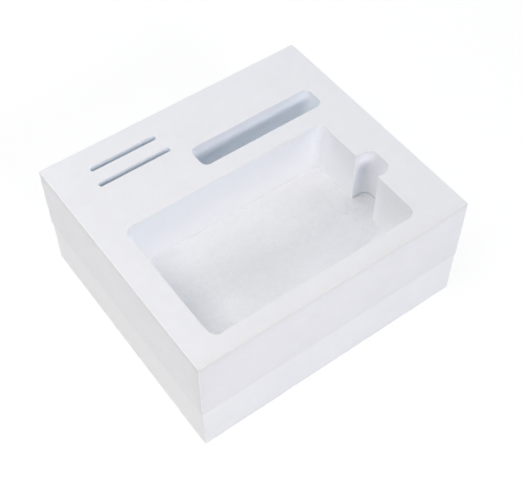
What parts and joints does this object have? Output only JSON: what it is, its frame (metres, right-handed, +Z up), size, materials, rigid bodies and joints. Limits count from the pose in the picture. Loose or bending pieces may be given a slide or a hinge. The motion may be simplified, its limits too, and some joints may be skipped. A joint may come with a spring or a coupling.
{
  "type": "foam packing insert",
  "caption": "White foam packing insert of bonded sheets, with a routed rectangular pocket, a finger notch, a long slot and narrow card slots in its top.",
  "frame": {"origin": "centre of the underside", "axes": "+Z up out of the pockets, +X along the long side towards the finger notch, -Y towards the side nearest the pocket"},
  "size_m": [0.194, 0.173, 0.087],
  "materials": {
    "upper_foam": "matte closed-cell foam with routed cut-outs",
    "base_foam": "matte closed-cell foam with knife-cut sides"
  },
  "bodies": {
    "root": {"base_layer": "base_foam", "cut_out_layer": "upper_foam"}
  },
  "joints": []
}
